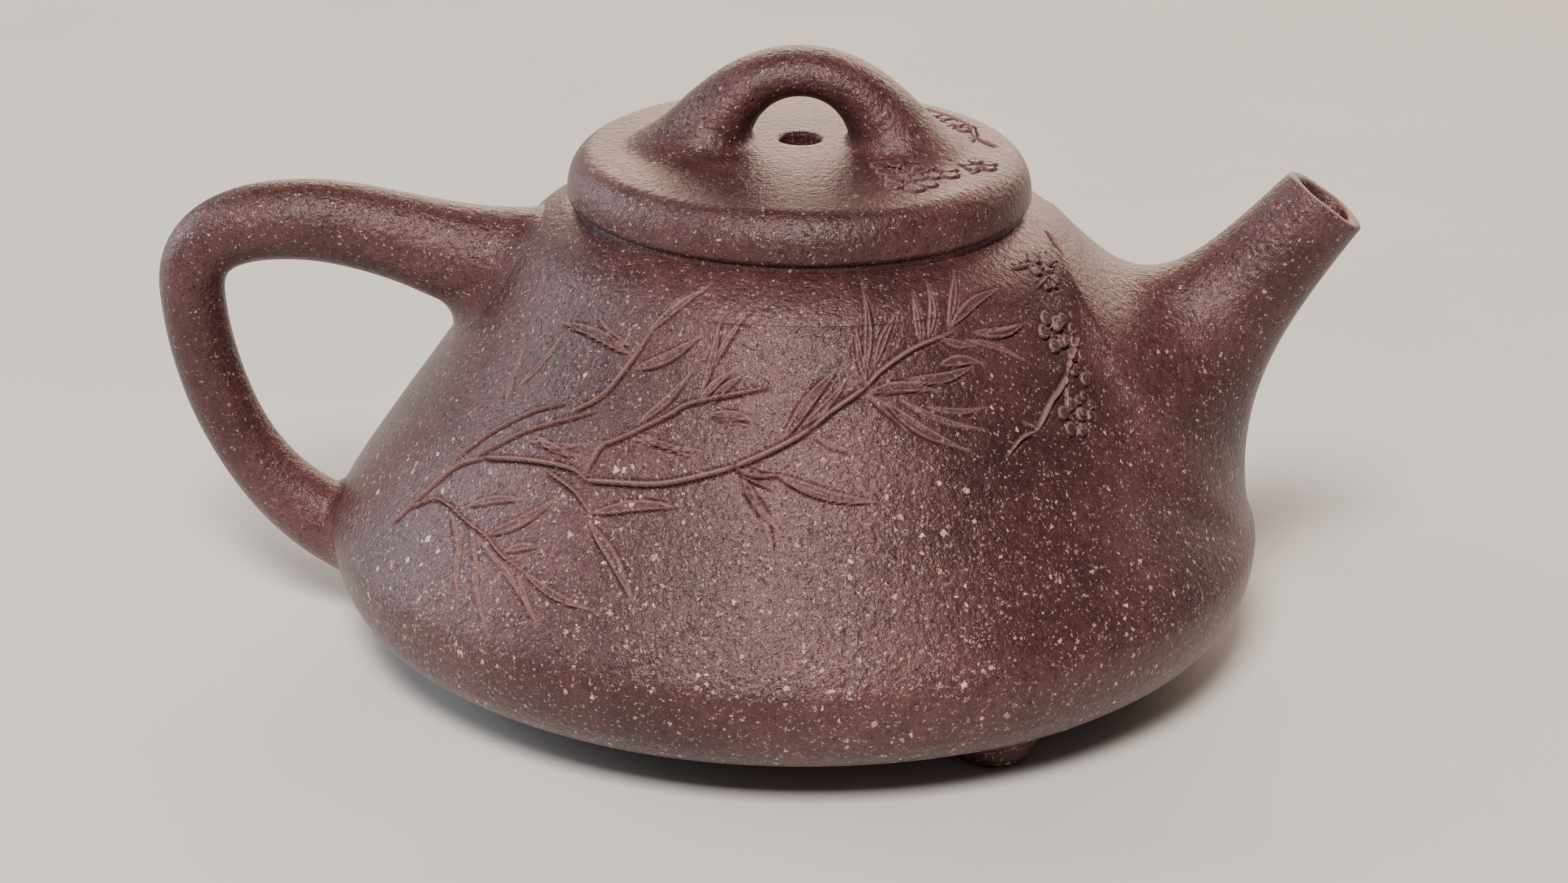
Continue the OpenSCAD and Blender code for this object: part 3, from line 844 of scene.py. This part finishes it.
def rounded(corners_list, radius, steps=5):
    """Closed outline with each corner cut back to a quarter round: the corner's two edges are
    left radius before it and joined by (1-t)^2 a + 2(1-t)t corner + t^2 b."""
    p = np.array(corners_list, float)
    radius = np.broadcast_to(radius, len(p))
    line = []
    t = np.linspace(0, 1, steps)[:, None]
    for k in range(len(p)):
        back, on = p[k - 1] - p[k], p[(k + 1) % len(p)] - p[k]
        a = p[k] + back / np.linalg.norm(back) * radius[k]
        b = p[k] + on / np.linalg.norm(on) * radius[k]
        line.append((1 - t) ** 2 * a + 2 * (1 - t) * t * p[k] + t * t * b)
    return np.vstack(line)


def ring_piece(name, outline, body, node, slot, finish):
    """Closed outline turned round the axis as a ring with no middle."""
    grid = turned(outline, np.arange(ROUND) * 2 * np.pi / ROUND)
    return piece(name, grid.reshape(-1, 3), [grid_faces(len(outline), ROUND, loop=True)], body,
                 [node], slot, finish)


def base_slab():
    """Round slab with softened rims: rings of points out over the floor, round the edge and back
    under, closed at both middles. Throwing ripples, sin(2.1 r + 0.6 sin 3a), lie on the floor."""
    line = np.vstack([
        np.column_stack([np.linspace(1.5, BASE_R - 0.7, 24), np.full(24, FLOOR_Z)]),
        [[BASE_R - 0.05, FLOOR_Z - 0.12], [BASE_R - 0.02, BASE_Z + 0.25],
         [BASE_R - 0.3, BASE_Z + 0.02]],
        np.column_stack([np.linspace(BASE_R - 0.9, 1.5, 24), np.full(24, BASE_Z)])])
    flat = turned(line, np.arange(ROUND) * 2 * np.pi / ROUND).reshape(-1, 3)
    reach = np.hypot(flat[:, 0], flat[:, 1])
    ripple = 0.07 * np.sin(reach * 2.1 + 0.6 * np.sin(3 * np.arctan2(flat[:, 1], flat[:, 0])))
    face, above = reach < BASE_R - 1, flat[:, 2] > BASE_Z + 1
    flat[:, 2] += np.where(face & above, ripple, 0)
    flat[:, 2] += np.where(face & ~above, 0.05 + 0.05 * unevenness(flat), 0)
    points = np.vstack([flat, [[0, 0, FLOOR_Z]], [[0, 0, BASE_Z + 0.05]]])
    first, last = np.arange(ROUND), np.arange(ROUND) + (len(line) - 1) * ROUND
    faces = [grid_faces(len(line), ROUND), fan_faces(first[::-1], len(flat)),
             fan_faces(last, len(flat) + 1)]
    return piece("base_slab_turned", points, faces, "pot", ["base_slab"], "raw_clay", RAW)


def mouth_ring():
    """Low ring round the mouth that the lid sits on, its upper rims rounded."""
    outline = rounded([(MOUTH_R, SHOULDER_Z - 0.3), (RING_R, SHOULDER_Z - 0.3), (RING_R, SEAT_Z),
                       (MOUTH_R, SEAT_Z)], (0.15, 0.15, 0.3, 0.3))
    return ring_piece("mouth_ring_smoothed", outline, "pot", "mouth_ring", "burnished_clay",
                      BURNISHED)


def lid_collar():
    """Ring under the lid that hangs in the mouth, its lower rims well rounded."""
    outline = rounded([(COLLAR_R - COLLAR_T, COLLAR_Z), (COLLAR_R, COLLAR_Z),
                       (COLLAR_R, SEAT_Z), (COLLAR_R - COLLAR_T, SEAT_Z)], (0.7, 0.7, 0.1, 0.5))
    return ring_piece("lid_collar_turned", outline, "lid", "lid_collar", "raw_clay", RAW)


FACE_SHARE = 0.888


def lid_plate():
    """Lid's face and edge turned round the axis, carved on the spout side, with the vent's
    rounded bore through its middle. The face's curve is cut, as de Casteljau does, at the share
    of it where the vent's rounded rim begins, and its first part is kept."""
    columns = np.radians(np.concatenate([np.arange(20, 152.01, 1.8), np.arange(155, 378, 3.0)]))
    a, b, c, d = [np.array(p, float) for p in LID_FACE]
    ab, bc, cd = [p + (q - p) * FACE_SHARE for p, q in ((a, b), (b, c), (c, d))]
    abc, bcd = ab + (bc - ab) * FACE_SHARE, bc + (cd - bc) * FACE_SHARE
    end = abc + (bcd - abc) * FACE_SHARE
    vent_rim = (end, (VENT_R + 0.1, DOME_Z - 0.1), (VENT_R, DOME_Z - 0.3), (VENT_R, DOME_Z - 0.7))
    vent_foot, under = (VENT_R, SEAT_Z + 0.4), (VENT_R + 0.4, SEAT_Z)
    mesh = carved_ring("lid_plate_carved", [
        (LID_EDGE[0], 0.5), (LID_EDGE[1], 0.5), ((a, ab, abc, end), 0.75), (vent_rim, 0.2),
        ((vent_rim[3], vent_foot), 2.5), ((vent_foot, under), 1.0),
        ((under, (LID_R - 0.8, SEAT_Z)), 3.0)], columns, SPLIT, (1, 2), on_lid, LID_PLUM, LID_WAVE)
    return settled("lid_plate_carved", mesh, "lid", ["lid_plate"], BURNISHED, 70)


# ---------------------------------------------------------------- bars that land on a turned skin


def land(tube, outside, inside, angles, skin, reach, steps, sink=0.06, wave=WALL_WAVE):
    """Rows that carry a tube on to a skin by a round fillet. For a turn b from 0 to 90 degrees a
    row lies reach (1 - sin b) over the skin and stands reach (1 - cos b) out from the tube. The
    place of that height along the tube is found by halving between outside and inside. The last
    row lies a sink's depth under the skin, and the rows near it follow its waves."""
    b = np.linspace(0, np.pi / 2, steps)[:, None]
    above = reach * (1 - np.sin(b)) - sink * (b / b[-1]) ** 2
    stand = reach * (1 - np.cos(b)) + 0 * angles
    near = np.full((steps, len(angles)), float(outside))
    far = np.full((steps, len(angles)), float(inside))
    for _ in range(26):
        middle = (near + far) / 2
        height = over(skin, tube(middle, angles)[0])[0]
        near = np.where(height > above, middle, near)
        far = np.where(height > above, far, middle)
    at, centre = tube(middle, angles)
    _, out = over(skin, at)
    away = at - centre
    away -= out * (away * out).sum(-1, keepdims=True)
    away /= np.linalg.norm(away, axis=-1, keepdims=True)
    moved = at + stand[..., None] * away
    height, out = over(skin, moved)
    lowered = wave * (b / b[-1]) * unevenness(moved)
    return moved + (above - height + lowered)[..., None] * out, middle[0]


def held(rows, wave):
    """Height of waves for each row: none on the first and last set of rows, which lie on a skin,
    and rising over the six rows next to them."""
    counts = [len(r) for r in rows]
    place = np.arange(sum(counts))
    inside = np.minimum(place - counts[0], sum(counts) - counts[-1] - 1 - place)
    return wave * ease(inside / 6)


def finished_bar(name, rows, body, node, wave=0.03):
    """Closed bar from rows of points, with a middle point at each end."""
    wave = np.repeat(held(rows, wave), rows[0].shape[1])
    grid = np.concatenate(rows)
    count = grid.shape[1]
    flat = grid.reshape(-1, 3)
    centre = np.repeat(grid.mean(1), count, axis=0)
    out = flat - centre
    out /= np.linalg.norm(out, axis=1)[:, None]
    flat = flat + (wave * unevenness(flat * 1.3))[:, None] * out
    points = np.vstack([flat, grid[0].mean(0)[None], grid[-1].mean(0)[None]])
    first = np.arange(count)
    last = first + (len(grid) - 1) * count
    return piece(name, points, [grid_faces(len(grid), count), fan_faces(first[::-1], len(flat)),
                                fan_faces(last, len(flat) + 1)], body, [node],
                 "burnished_clay", BURNISHED)


def between_rows(tube, first, last, count, angles):
    """Rows of a tube spread evenly from one place to another for each angle, ends left out."""
    k = np.linspace(0, 1, count + 2)[1:-1, None]
    return tube(first * (1 - k) + last * k, angles)[0]


CREST_HALF, TAIL_HALF = 5.4, 3.8
HIGH_ROOT = curve(CONE, 0.93)
LOW_ROOT = curve(CORNER, 0.78)
CREST = np.array([-(BELLY_R + 2.8), RIM_Z + 0.9])
BEND = np.array([-(BELLY_R + 16), BELLY_Z + 0.745 * (CREST[1] - BELLY_Z)])
HANDLE_LINE = np.array([
    [(4 - HIGH_ROOT[0], HIGH_ROOT[1] + 0.5), (-HIGH_ROOT[0] - 6, HIGH_ROOT[1] + 2.4),
     CREST + (8, 0), CREST],
    [CREST, CREST - (8.6, 0), BEND + (-0.4, 6.2), BEND],
    [BEND, BEND + (0.4, -7.8), (-LOW_ROOT[0] - 12.4, LOW_ROOT[1] + 4.6),
     (4.5 - LOW_ROOT[0], LOW_ROOT[1] + 0.6)]])


def handle_middle(t):
    """Middle line of the handle, t from 0 at its upper root to 3 at its lower: three cubics."""
    part = np.clip(np.floor(t), 0, 2).astype(int)
    p = HANDLE_LINE[part]
    u = (t - part)[..., None]
    return ((1 - u) ** 3 * p[..., 0, :] + 3 * (1 - u) ** 2 * u * p[..., 1, :]
            + 3 * (1 - u) * u * u * p[..., 2, :] + u ** 3 * p[..., 3, :])


def handle_tube(t, angles):
    """Skin of the handle: its middle line, plus half its thickness across the line times cos a
    and half its width along Y times sin a. It thins from the crest to the tail, and swells with
    the square of the distance near both roots."""
    t = np.clip(t, 0, 3)
    middle = handle_middle(t)
    ahead = handle_middle(np.minimum(t + 0.01, 3)) - handle_middle(np.maximum(t - 0.01, 0))
    ahead /= np.linalg.norm(ahead, axis=-1, keepdims=True)
    s = t / 3
    half = (CREST_HALF + (TAIL_HALF - CREST_HALF) * ease(s * 1.25)
            + 2 * np.maximum(0, 1 - s / 0.22) ** 2 + 1.6 * np.maximum(0, (s - 0.82) / 0.18) ** 2)
    across, wide = half * np.cos(angles), half * 0.98 * np.sin(angles)
    x = middle[..., 0] - ahead[..., 1] * across
    z = middle[..., 1] + ahead[..., 0] * across
    return (np.stack([x, wide, z], -1),
            np.stack([middle[..., 0], 0 * x, middle[..., 1]], -1))


def handle():
    """Loop from the top of the wall to the belly's corner, with a fillet at each root. Its reach
    goes by the cosine of the turn round the bar, which is 1 on the loop's inner side: the upper
    fillet is widest there, and the lower one narrowest."""
    angles = np.arange(72) * 2 * np.pi / 72
    upper, leave = land(handle_tube, 0.75, 0.0, angles, POT_SKIN, 2.5 + 1.5 * np.cos(angles), 12)
    lower, arrive = land(handle_tube, 2.55, 3.0, angles, POT_SKIN, 2.0 - 0.8 * np.cos(angles), 12)
    rows = [upper[::-1], between_rows(handle_tube, leave, arrive, 110, angles), lower]
    return finished_bar("handle_shaped", rows, "pot", "handle")


TIP = np.array([BELLY_R + 6.1, 54.9])
TIP_R = 5.4
TIP_LEAN = np.radians(54.7)
TIP_ACROSS = np.array([-np.sin(TIP_LEAN), np.cos(TIP_LEAN)])
LIP_WALL, ROOT_WALL = 1.7, 3.0
TOP_LIP, LOW_LIP = TIP + TIP_R * TIP_ACROSS, TIP - TIP_R * TIP_ACROSS
SPOUT_TOP = (TOP_LIP, TOP_LIP - (10.4, 11.4), (RIM_R + 8.5, RIM_Z - 9.0),
             (RIM_R - 2.8, RIM_Z + 2.6))
SPOUT_LOW = (LOW_LIP, LOW_LIP - (8.6, 12.3), curve(CONE, 0.14) + (-3.3, 15),
             curve(CONE, 0.14) + (-0.6, 0))


def spout_tube(t, angles, inner=0.0):
    """Skin of the spout between its upper and lower edge lines, t from 0 at the tip to 1 in the
    wall: the lines' middle, half their distance times cos a, and the half width times sin a.
    Inner is 0 for the outer skin and 1 for the bore, a wall's thickness in from it."""
    a, b = curve(SPOUT_TOP, t), curve(SPOUT_LOW, t)
    half = np.linalg.norm(a - b, axis=-1)[..., None] / 2
    wall = (LIP_WALL + (ROOT_WALL - LIP_WALL) * np.minimum(1, 2 * t))[..., None] * inner
    across = (a - b) / 2 * (half - wall) / half * np.cos(angles)[..., None]
    wide = ((half * (1 - 0.18 * t[..., None]) - wall) * np.sin(angles)[..., None])[..., 0]
    middle = (a + b) / 2
    at = middle + across
    return (np.stack([at[..., 0], wide, at[..., 1]], -1),
            np.stack([middle[..., 0], 0 * wide, middle[..., 1]], -1))


def spout():
    """Outer skin from its fillet on the wall up to the tip, a soft lip, and the bore back down."""
    angles = np.arange(80) * 2 * np.pi / 80
    reach = 1.2 + 6.3 * np.sin(angles) ** 2 + 0.2 * np.cos(angles)
    root, leave = land(spout_tube, 0.25, 1.0, angles, POT_SKIN, reach, 19)
    body_rows = between_rows(spout_tube, leave, 0 * leave + 0.035, 60, angles)

    def lip(inset, drop):
        """Ring at the tip, moved in from the outer skin and down along the spout."""
        ring, middle = spout_tube(0 * angles, angles)
        out = (ring - middle) / np.linalg.norm(ring - middle, axis=-1, keepdims=True)
        along = np.array([-TIP_ACROSS[1], 0, TIP_ACROSS[0]])
        uneven = 0.12 * np.sin(2 * angles + 0.7) + 0.07 * np.sin(5 * angles)
        return ring - inset * out + ((drop + 0.15 + uneven * 0.6)[..., None]) * along

    turns = np.linspace(0, np.pi / 2, 5)
    soft_out, soft_in = 0.4, 0.6
    outer_lip = [lip(soft_out * (1 - np.cos(b)), soft_out * (1 - np.sin(b)) + 0 * angles)
                 for b in turns]
    inner_lip = [lip(LIP_WALL - soft_in * (1 - np.sin(b)), soft_in * (1 - np.cos(b)) + 0 * angles)
                 for b in turns]
    bore_t = np.linspace(0.07, 0.9, 34)[:, None] + 0 * angles
    bore, _ = spout_tube(bore_t, angles, 1.0)
    height, out = over(POT_SKIN, bore)
    bore = np.where((height < 0.05)[..., None], bore - (height - 0.05)[..., None] * out, bore)
    rows = np.concatenate([root[::-1], body_rows, outer_lip, inner_lip, bore])
    count = rows.shape[1]
    flat = rows.reshape(-1, 3)
    centre = np.repeat(rows.mean(1), count, axis=0)
    outward = flat - centre
    outward /= np.linalg.norm(outward, axis=1)[:, None]
    wave = 0.03 * ease((np.arange(len(rows)) - len(root)) / 6)
    flat = flat + (np.repeat(wave, count) * unevenness(flat * 1.3))[:, None] * outward
    rubbed = np.zeros(rows.shape[:2])
    first_lip = len(root) + len(body_rows)
    rubbed[first_lip + 2:first_lip + 8] = 0.7
    return piece("spout_shaped", flat, [grid_faces(len(rows), count, loop=True)], "pot",
                 ["spout"], "burnished_clay", BURNISHED, 60, worn=rubbed.ravel())


# Half thickness and half width of the bridge at its crest, and how much more at its feet
KNOB_THICK, KNOB_WIDE = (2.9, 2.8), (4.3, 2.2)
KNOB_SIDE = ((11.6, LID_TOP - 0.6), (9.5, LID_TOP + 4.6), (5.8, KNOB_Z - 3.1), (0, KNOB_Z - 3.1))


def knob_middle(u):
    """Middle line of the bridge from foot to foot, u from -1 over the crest at 0 to 1."""
    p = curve(KNOB_SIDE, 1 - abs(u))
    return np.stack([np.sign(u) * p[..., 0], p[..., 1]], -1)


def knob_tube(u, angles):
    """Skin of the bridge: half thickness and half width grow with u^2 towards both feet."""
    middle = knob_middle(u)
    ahead = knob_middle(np.minimum(u + 0.01, 1)) - knob_middle(np.maximum(u - 0.01, -1))
    ahead /= np.linalg.norm(ahead, axis=-1, keepdims=True)
    thick = (KNOB_THICK[0] + KNOB_THICK[1] * u * u) * np.cos(angles)
    wide = (KNOB_WIDE[0] + KNOB_WIDE[1] * u * u) * np.sin(angles)
    x = middle[..., 0] - ahead[..., 1] * thick
    z = middle[..., 1] + ahead[..., 0] * thick
    return (np.stack([x, wide, z], -1),
            np.stack([middle[..., 0], 0 * x, middle[..., 1]], -1))


def lid_knob():
    """Bridge over the vent from one side of the lid to the other, with a fillet at each foot."""
    angles = np.arange(72) * 2 * np.pi / 72
    reach = 3.0 + 1.6 * np.cos(angles)
    left, leave = land(knob_tube, -0.4, -1.0, angles, LID_SKIN, reach, 13, wave=LID_WAVE)
    right, arrive = land(knob_tube, 0.4, 1.0, angles, LID_SKIN, reach, 13, wave=LID_WAVE)
    rows = [left[::-1], between_rows(knob_tube, leave, arrive, 70, angles), right]
    return finished_bar("lid_knob_shaped", rows, "lid", "lid_knob", wave=0.025)


def foot(name, degrees, node):
    """Rounded nub under the body: rings of radius r(t) at height z(t) along its side's outline,
    then a fillet on to the pot's skin."""
    side = drawn(((2.6, 0), (3.9, 0), (4.5, 0.7), (4.8, 2.0)), ((4.8, 2.0), (5.2, 4.0)),
                 ((5.2, 4.0), (5.4, 9.0)))
    run = length_along(side)
    turn = np.radians(degrees)
    stand = np.array([FOOT_RING_R * np.cos(turn), FOOT_RING_R * np.sin(turn), 0])

    def nub(t, angles):
        """Skin of the nub, t from 0 under it to 1 inside the wall, and its middle."""
        r, z = np.interp(t, run / run[-1], side[:, 0]), np.interp(t, run / run[-1], side[:, 1])
        at = np.stack([r * np.cos(angles), r * np.sin(angles), z], -1) + stand
        return at, np.stack([0 * r, 0 * r, z], -1) + stand

    angles = np.arange(56) * 2 * np.pi / 56
    root, leave = land(nub, 0.12, 1.0, angles, POT_SKIN, 2.7 + 0 * angles, 12)
    rows = [nub(np.zeros((1, len(angles))), angles)[0],
            between_rows(nub, 0 * leave, leave, 12, angles), root]
    return finished_bar(name, rows, "pot", node, wave=0.0)


body_wall()
shoulder_slab()
base_slab()
mouth_ring()
handle()
spout()
foot("foot_under_handle_shaped", 182.5, "foot_under_handle")
foot("foot_front_shaped", 302.5, "foot_front")
foot("foot_back_shaped", 62.5, "foot_back")
lid_plate()
lid_collar()
lid_knob()
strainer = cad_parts["strainer"]
strainer.data.materials.clear()
strainer.data.materials.append(RAW)

# ---------------------------------------------------------------- floor, lights and camera


def floor():
    """Wide pale sheet, in metres: level, then a quarter of an ellipse up from 0.9 to 1.4 behind,
    (0.9 + 0.5 sin a, 0.5 - 0.5 cos a), then straight up."""
    t = np.linspace(0, 1, 25)
    line = np.vstack([[-1.4, 0], np.column_stack([0.9 + 0.5 * np.sin(t * np.pi / 2),
                                                0.5 - 0.5 * np.cos(t * np.pi / 2)]), [1.4, 1.6]])
    across = np.array([-2.2, 2.2])
    points = np.stack(np.broadcast_arrays(across[None, :], line[:, 0][:, None],
                                          line[:, 1][:, None]), -1).reshape(-1, 3)
    mesh = bpy.data.meshes.new("pale_floor")
    mesh.from_pydata(points.tolist(), [], grid_faces(len(line), 2, ring=False).tolist())
    mesh.shade_smooth()
    made = bpy.data.objects.new("pale_floor", mesh)
    bpy.context.scene.collection.objects.link(made)
    n = Nodes("pale_paper")
    where = n.add("ShaderNodeTexCoord").outputs["Object"]
    n.set(n.shader, "Base Color", n.ramp(n.noise(where, 14.0, 3.0), (0.3, (0.63, 0.61, 0.585)),
                                         (0.7, (0.67, 0.65, 0.625))))
    n.set(n.shader, "Roughness", 0.7)
    mesh.materials.append(n.finish)


def soft_light(name, place, aim, size, power, colour):
    """Soft box of a width and height in metres, turned to face a place: its back is the
    direction from that place to it, and its right is level."""
    lamp = bpy.data.lights.new(name, "AREA")
    lamp.shape, lamp.size, lamp.size_y = "RECTANGLE", size[0], size[1]
    lamp.energy, lamp.color = power, colour
    made = bpy.data.objects.new(name, lamp)
    made.location = place
    back = np.array(place, float) - np.array(aim, float)
    back /= np.linalg.norm(back)
    right = np.cross((0, 0, 1), back)
    right /= np.linalg.norm(right)
    turn = Matrix(np.stack([right, np.cross(back, right), back], 1).tolist())
    made.rotation_euler = turn.to_euler()
    bpy.context.scene.collection.objects.link(made)


floor()
for name, place, aim, size, power, colour in (
        ("key_front_high", (-0.1, -0.68, 0.8), (0, 0, 0.05), (0.3, 0.3), 18, (1.0, 0.92, 0.87)),
        ("window_left", (-0.95, 0.3, 0.36), (0, 0, 0.04), (0.6, 0.45), 8, (0.82, 0.91, 1.0)),
        ("warm_back", (0.25, 1.1, 0.42), (0, 0, 0.05), (1.3, 0.4), 13, (1.0, 0.74, 0.58))):
    soft_light(name, place, aim, size, power, colour)
world = bpy.data.worlds.new("studio")
world.use_nodes = True
sky = world.node_tree.nodes["Background"].inputs
sky["Color"].default_value = (0.95, 0.93, 0.93, 1)
sky["Strength"].default_value = 0.1
bpy.context.scene.world = world

camera_data = bpy.data.cameras.new("view")
camera_data.sensor_width = 36.0
camera_data.lens = 82.45
camera_data.clip_start = 0.01
camera = bpy.data.objects.new("view", camera_data)
bpy.context.scene.collection.objects.link(camera)
pitch, yaw, roll = np.radians((21.46, 0.29, 0.785))
forward = np.array([-np.sin(yaw) * np.cos(pitch), np.cos(yaw) * np.cos(pitch), -np.sin(pitch)])
level = np.cross(forward, (0, 0, 1))
level /= np.linalg.norm(level)
upright = np.cross(level, forward)
right = np.cos(roll) * level + np.sin(roll) * upright
up = np.cos(roll) * upright - np.sin(roll) * level
camera.matrix_world = (Matrix.Translation((0.00065, -0.39905, 0.18031))
                       @ Matrix(np.stack([right, up, -forward], 1).tolist()).to_4x4())
bpy.context.scene.camera = camera

bpy.context.view_layer.update()
